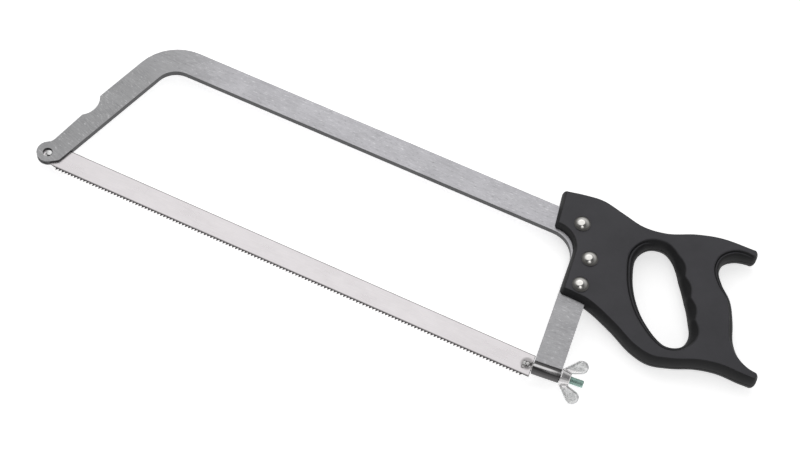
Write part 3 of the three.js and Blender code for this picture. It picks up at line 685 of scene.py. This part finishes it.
nutMesh, bm = copyOfNode("wing_nut")
flattened(bm)
widest = sorted(bm.faces, key=lambda face: -face.calc_area())[:nutLook["panels"]]  # both faces of each wing
for face in widest:
    bmesh.ops.inset_region(bm, faces=[face], thickness=nutLook["panelInset"] / 1000, use_even_offset=True)
    bmesh.ops.translate(bm, verts=face.verts[:], vec=-face.normal * nutLook["panelDepth"] / 1000)
bm.to_mesh(nutMesh)
bm.free()
castNut = castMaterial("castNut", nutLook)
wingNut = finishPiece("wingNut", nutMesh, "nut", "wing_nut", [castNut], sharp=60.0)
remesh = wingNut.modifiers.new("cast", "REMESH")
remesh.mode = "VOXEL"
remesh.voxel_size = nutLook["voxel"] / 1000
remesh.use_smooth_shade = True
soften = wingNut.modifiers.new("soften", "SMOOTH")
soften.factor = nutLook["softness"]
soften.iterations = nutLook["smooth"]
print("tensioner made")

# handle: two shells with crowned walls round a seam, and a scalloped hand hole
handleLook = dict(
    thickness=22.0, seamGap=0.3, seamCut=0.35, wallRings=28, curvePoints=110, holePoints=300, outlineGap=0.9,
    edgeRound=0.6, holeRound=1.6, edgeRise=0.7, lidStep=1.5, shadeRings=4,
    edgeRim=4.0, tipRim=3.0, lowerRim=4.0, backRim=5.5, webRim=7.2, cutoutRim=3.0, farRim=8.3, gripRim=4.9,
    shellCorner=4.6, topCorner=3.4, tipCorner=4.2, cutoutRadius=21.5, cutoutCorner=3.4, plateStep=2.7,
    frontReach=23.8, footDrop=57.4, lineFrom=5.2, lineFade=1.6,
    gripStart=(92.8, 11.9), gripAlong=(0.552, -0.834), fingers=4, fingerPitch=21.7, fingerDepth=3.4,
    fingerForm=1.2, faceDark=(0.044, 0.0432, 0.0487), faceLight=(0.06, 0.0585, 0.0658),
    rough=0.4, roughLess=0.04, roughMore=0.06, gloss=0.3, bump=0.1, bumpDepth=0.15,
    # the walls' near-black colour is painted shade
    wall=(0.005, 0.005, 0.006), wallRough=0.6,
)
# up a wide rim from seam to face: place along the wall, height, share of the set-in
rimSteps = np.array([
    (0, 0.15, 0), (0.2, 4.5, 0.1), (0.38, 7.6, 0.27), (0.47, 8.9, 0.42), (0.54, 9.35, 0.52),
    (0.6, 9.4, 0.6), (0.66, 9.1, 0.68), (0.72, 8.9, 0.74), (0.78, 9.2, 0.79), (0.85, 10.2, 0.83),
    (0.91, 10.75, 0.87), (0.96, 10.97, 0.94), (1, 11, 1.02),
])
# the same wall's painted shade: dark, a painted highlight on the raised line, dark in the dip, light on the
# face
rimShade = np.array([(0, 1), (0.5, 1), (0.58, 0.1), (0.64, 0.5), (0.7, 1), (0.8, 1), (0.88, 0.6),
                     (0.95, 0.1), (1, 0)])


def plasticMaterial(name, look):  # satin faces and rougher walls darkened by painted shade, with a mould's fine texture
    material, tree, shader, coords = startMaterial(name)
    fine = noiseAt(tree, coords, scale=2600.0, detail=2.0, rough=0.6)
    coarse = noiseAt(tree, coords, scale=700.0, detail=3.0, rough=0.55)
    cloud = noiseAt(tree, coords, scale=22.0, detail=4.0, rough=0.6)
    wall = shadeOf(tree)
    face = mixColour(tree, byCloud(tree, cloud, 0, 1), look["faceDark"], look["faceLight"])
    faceRough = byCloud(tree, cloud, look["rough"] - look["roughLess"], look["rough"] + look["roughMore"])
    rough = mixValue(tree, wall, faceRough, look["wallRough"])
    setSurface(tree, shader, mixColour(tree, wall, face, look["wall"]), rough, metal=0.0)
    shader.inputs["Specular IOR Level"].default_value = look["gloss"]
    addBump(tree, shader, weighted(tree, fine, 0.65, coarse, 0.35), look["bump"], look["bumpDepth"])
    return material


# widest outline at the seam, clockwise; each point also has the face's set-in and the rim line's strength
def handleOutline(look):
    e, t, low, back, web = (look[k] for k in ("edgeRim", "tipRim", "lowerRim", "backRim", "webRim"))
    at = np.array([*rearCorner, 0, 0])
    top = smoothCurve(at + np.array([
        (-30.8, 41.7, e, 0), (-10, 46.4, e, 0), (8, 48.3, e, 0), (30, 43.7, e, 0), (51, 39.4, e, 0),
        (72, 42.4, e, 0), (97, 53.8, e, 0), (121, 60.5, e, 0), (156, 61.4, t, 0)]), look["curvePoints"])
    grip = smoothCurve(at + np.array([
        (156, 51, t, 0.3), (139, 46, web, 1), (130.2, 37.5, web, 1), (129.6, 26.5, web, 1), (137, 15, web, 1),
        (149, 2.7, back, 0.5), (158, -15.5, back, 0.3), (165, -34.5, back, 0.3), (173.5, -45.7, e, 0),
        (184, -51.4, e, 0), (196.2, -54.2, t, 0)]), look["curvePoints"])
    under = smoothCurve(at + np.array([
        (196.2, -64.5, t, 0), (183, -66, low, 0), (162, -66, low, 0), (143, -70.4, low, 0),
        (123.5, -79, low, 0), (103, -84.7, low, 0), (84, -81.2, low, 0), (60, -69.4, e, 0),
        (32, -58.6, e, 0), (17, -57.4, e, 0)]), look["curvePoints"])

    def onLeg(y):
        return legFoot + rearUp * ((y - legFoot[1]) / rearUp[1])
    stepHeight = sawPlan["bowDepth"] + look["plateStep"]
    foot, step = onLeg(rearCorner[1] - look["footDrop"]), onLeg(stepHeight)
    front = np.array([rearCorner[0] - look["frontReach"], stepHeight])

    def corner(before, c, after, radius, rim, line=0.0):
        p = roundCorner(before, c, after, radius)
        return np.column_stack([p, np.full(len(p), rim), np.full(len(p), line)])
    tip, cutout = look["tipCorner"], look["cutoutRim"]
    loop = np.vstack([  # each corner takes the place of the last few points of its curves
        corner(front, top[0], top[4], look["topCorner"], e), top[6:-5],
        corner(top[-5], top[-1], grip[0], tip, t), corner(top[-1], grip[0], grip[4], tip, t, 0.3), grip[6:-6],
        corner(grip[-5], grip[-1], under[0], tip, t), corner(grip[-1], under[0], under[4], tip, t), under[6:],
        corner(under[-1], foot, step, look["shellCorner"], e),
        corner(foot, step, front, look["cutoutRadius"], cutout),
        corner(step, front, top[0], look["cutoutCorner"], cutout),
    ])
    closed = np.vstack([loop, loop[:1]])
    run = runLength(closed)
    return spaced(closed, run, np.linspace(0, run[-1], int(run[-1] / look["outlineGap"]), endpoint=False))


def handHole(look):  # slanted oval, counter-clockwise; finger grooves deepen the set-in on the grip's side
    far, grip = look["farRim"], look["gripRim"]
    loop = smoothCurve(np.array([*rearCorner, 0]) + np.array([
        (75, 26.2, 4), (62, 21, 6), (56, 7, far), (60, -11.5, far), (70.3, -32.2, far), (87, -51, 8),
        (110.6, -64.2, 7), (123.3, -58.8, 6), (126.6, -46, grip), (117.8, -25.9, grip), (100.7, 0.4, grip),
        (91.9, 13.1, grip), (84, 21.8, grip)]), look["holePoints"], closed=True)
    pitch, along = look["fingerPitch"], np.array(look["gripAlong"])
    off = loop[:, :2] - (rearCorner + np.array(look["gripStart"]))
    s = off @ along + pitch / 2
    across = off[:, 0] * along[1] - off[:, 1] * along[0]
    on = (s > 0) & (s < look["fingers"] * pitch) & (np.abs(across) < pitch / 2)
    line = np.clip((loop[:, 2] - look["lineFrom"]) / look["lineFade"], 0, 1)  # only where the rim is wide
    loop[:, 2] += on * look["fingerDepth"] * np.abs(np.sin(math.pi * s / pitch)) ** look["fingerForm"]
    return np.column_stack([loop, line])


# crowned wall, upright at the seam, then a rounded edge onto the face; a wide rim follows its steps instead
def shellRings(loop, look, edgeRound):
    high, rise = look["thickness"] / 2, edgeRound * look["edgeRise"]
    swing = 2 * math.atan(look["edgeRim"] / high)

    def share(z):  # how far the crowned wall is set in at a height
        return (1 - np.cos(np.arcsin(z / high * math.sin(swing)))) / (1 - math.cos(swing))
    shoulder = high - rise
    turn = np.radians([0, 30, 55, 75, 90])
    over = np.concatenate([1 - np.cos(turn), [look["lidStep"]]])  # round the edge, then onto the face
    wall = np.linspace(look["seamGap"] / 2, shoulder, look["wallRings"])[:-1]
    heights = np.concatenate([wall, shoulder + rise * np.sin(turn), [high]])
    insets = np.concatenate([share(wall), np.full(len(over), share(shoulder))])[:, None] * loop[:, 2]
    insets[-len(over):] += (edgeRound * over)[:, None]
    at = np.linspace(0, 1, len(heights))
    stepHeights = np.interp(at, rimSteps[:, 0], rimSteps[:, 1])[:, None]
    stepInsets = np.interp(at, rimSteps[:, 0], rimSteps[:, 2])[:, None] * loop[:, 2]
    wide = loop[:, 3]
    z = heights[:, None] * (1 - wide) + stepHeights * wide
    d = insets * (1 - wide) + stepInsets * wide
    d[0] += look["seamCut"]
    # painted shade: dark up the wall, fading out below the face; a wide rim takes rimShade's painted shade
    # and highlight
    fromFace = np.arange(len(heights))[::-1] - 0.5
    dark = np.clip(fromFace / look["shadeRings"], 0, 1)[:, None] * (1 - wide)
    dark = dark + np.interp(at, rimShade[:, 0], rimShade[:, 1])[:, None] * wide
    return np.stack([np.column_stack([setIn(loop, row), level]) for row, level in zip(d, z)]), dark


def handleShell(look, side):  # walls round the outline and the hole, closed at the seam and at the face
    points, faces, shade, lids = [], [], [], []
    base = 0
    for loop, edgeRound in ((handleOutline(look), look["edgeRound"]), (handHole(look), look["holeRound"])):
        rings, dark = shellRings(loop, look, edgeRound)
        rows, n = dark.shape
        faces += loopGrid(rows, n, base, flip=side > 0)
        points.append(rings.reshape(-1, 3))
        shade.append(dark.ravel())
        lids.append((rings[0, :, :2], base, rings[-1, :, :2], base + (rows - 1) * n))
        base += rows * n
    seams, seamBases, tops, topBases = zip(*lids)
    faces += fillFlat(seams, seamBases, side < 0) + fillFlat(tops, topBases, side > 0)
    return np.vstack(points) * np.array([1, 1, side]), faces, np.concatenate(shade)


moulding = plasticMaterial("blackMoulding", handleLook)
for side, name, node in ((1, "handleFront", "handle_half_front"), (-1, "handleBack", "handle_half_back")):
    points, faces, shade = handleShell(handleLook, side)
    addPiece(name, points, faces, "frame", node, [moulding], sharp=50.0, shade=shade)
print("handle made")

# rivets: domed cap with a pin, domed post with a sleeve; a painted dark reflection toward each dome's rim
rivetLook = dict(
    radius=7.5, height=3.7, rim=0.7, rimEase=0.25, rimRise=0.12, steps=14, sides=64, seat=11.1,
    pin=2.5, bore=2.8, sleeve=3.9, engaged=16.0, endGap=0.3,
    dark=(0.7, 0.685, 0.655), light=(0.82, 0.805, 0.775), rough=0.1, bump=0.02, bumpDepth=0.1,
    # the dark tone toward the rim is a painted dark reflection
    darkTone=(0.12, 0.116, 0.11), darkToneRough=0.32, rimDarkFrom=0.4, rimDarkFade=0.48,
)
rivetPlaces = rearCorner + np.array([(-1.2, 13.4), (18.2, -17), (20.3, -44.7)])


def headProfile(look):  # short rim, then part of a sphere up to the crown
    seat, radius, crown = look["seat"], look["radius"], look["height"] - look["rim"]
    ball = (radius ** 2 + crown ** 2) / (2 * crown)
    a = math.asin(radius / ball) * (1 - np.linspace(0, 1, look["steps"]))
    dome = np.column_stack([seat + look["height"] - ball * (1 - np.cos(a)), ball * np.sin(a)])
    return np.vstack([[seat, radius - look["rimEase"]], [seat + look["rimRise"], radius], dome])


def addRivetHalf(name, node, place, profile, look, metal):
    p, f = turned(profile, look["sides"])
    p = np.column_stack([p[:, 1] + place[0], p[:, 2] + place[1], p[:, 0]])
    # painted dark reflection, growing toward each dome's rim
    edge = np.clip((profile[:, 1] / look["radius"] - look["rimDarkFrom"]) / look["rimDarkFade"], 0, 1)
    shade = np.repeat(edge, look["sides"])
    addPiece(name, p, f, "frame", node, [metal], sharp=40.0, shade=shade)


rivetMetal = paintedReflectionMaterial("polishedRivet", rivetLook)
half, seat, pin = rivetLook["engaged"] / 2, rivetLook["seat"], rivetLook["pin"]
bore, sleeve, bottom = rivetLook["bore"], rivetLook["sleeve"], -half - rivetLook["endGap"]
head = headProfile(rivetLook)
capProfile = np.vstack([[-half, 0], [-half, pin], [seat, pin], head])
postProfile = np.vstack([[bottom, 0], [bottom, bore], [half, bore], [half, sleeve], [-seat, sleeve],
                         head * [-1, 1]])
for i, place in enumerate(rivetPlaces, 1):
    addRivetHalf("rivetCap%d" % i, "rivet_cap_%d" % i, place, capProfile, rivetLook, rivetMetal)
    addRivetHalf("rivetPost%d" % i, "rivet_post_%d" % i, place, postProfile, rivetLook, rivetMetal)
print("rivets made")

# pale floor, soft light and the camera
stageLook = dict(
    floor=0.9, floorRough=0.9, floorGloss=0.1, reach=6.0, lift=0.6,
    horizon=0.78, zenith=0.12, glowFrom=0.4, glowTo=0.85,
)
floorMaterial, tree, shader, _ = startMaterial("paleFloor")
shader.inputs["Base Color"].default_value = (stageLook["floor"],) * 3 + (1,)
shader.inputs["Roughness"].default_value = stageLook["floorRough"]
shader.inputs["Specular IOR Level"].default_value = stageLook["floorGloss"]
shader.inputs["Emission Color"].default_value = (1, 1, 1, 1)
rays = tree.nodes.new("ShaderNodeLightPath").outputs
seen = math2(tree, "MAXIMUM", rays["Is Camera Ray"], rays["Is Glossy Ray"])
seen = math2(tree, "MAXIMUM", seen, rays["Is Transmission Ray"])
tree.links.new(math2(tree, "MULTIPLY", seen, stageLook["lift"]), shader.inputs["Emission Strength"])
floorMesh = bpy.data.meshes.new("floor")
r = stageLook["reach"]
floorMesh.from_pydata([(-r, -r, 0), (r, -r, 0), (r, r, 0), (-r, r, 0)], [], [(0, 1, 2, 3)])
floorMesh.materials.append(floorMaterial)
floor = bpy.data.objects.new("floor", floorMesh)
bpy.context.scene.collection.objects.link(floor)

world = bpy.data.worlds.new("studio")
bpy.context.scene.world = world
world.use_nodes = True
sky = world.node_tree
direction = sky.nodes.new("ShaderNodeTexCoord").outputs["Generated"]
split = sky.nodes.new("ShaderNodeSeparateXYZ")
sky.links.new(direction, split.inputs[0])
glow = remap(sky, split.outputs["Z"], stageLook["glowFrom"], stageLook["glowTo"],
             stageLook["horizon"], stageLook["zenith"])
sky.links.new(glow, sky.nodes["Background"].inputs["Color"])
sky.nodes["Background"].inputs["Strength"].default_value = 1.0

lampLook = [  # name, place and aim in metres, size, watts
    ("softKey", (-0.24, 0.48, 1.0), (-0.12, 0.16, 0.0), (1.5, 1.35), 4.8),
    ("softFill", (0.35, -0.36, 1.15), (0.1, 0.0, 0.0), (0.52, 0.52), 1.15),
]
for name, place, aim, size, watts in lampLook:
    data = bpy.data.lights.new(name, "AREA")
    data.shape = "ELLIPSE"
    data.size, data.size_y = size
    data.energy = watts
    lamp = bpy.data.objects.new(name, data)
    lamp.location = place
    lamp.rotation_euler = (Vector(aim) - Vector(place)).to_track_quat("-Z", "Y").to_euler()
    bpy.context.scene.collection.objects.link(lamp)

viewLook = dict(  # focal length in pixels of an image 800 wide; turn and shift of the saw before the camera
    focal=1857.98, imageWidth=800, sensor=36.0,
    turn=(-0.4719593, -0.1505643, -0.4074635), shift=(-324.0206, 65.5900, -1710.187),
)
rx, ry, rz = viewLook["turn"]
turnView = np.array(Matrix.Rotation(rz, 3, "Z") @ Matrix.Rotation(ry, 3, "Y") @ Matrix.Rotation(rx, 3, "X"))
holeCentre = bossCentre - np.array([0, sawPlan["bossDrop"], 0])
eye = (-turnView.T @ np.array(viewLook["shift"]) + holeCentre) / 1000
cameraData = bpy.data.cameras.new("camera")
cameraData.sensor_width = viewLook["sensor"]
cameraData.lens = viewLook["focal"] * viewLook["sensor"] / viewLook["imageWidth"]
camera = bpy.data.objects.new("camera", cameraData)
camera.matrix_world = Matrix.Translation(eye) @ Matrix(turnView.T.tolist()).to_4x4()
bpy.context.scene.collection.objects.link(camera)
bpy.context.scene.camera = camera
bpy.context.scene.view_settings.view_transform = "Standard"

print("scene ready")
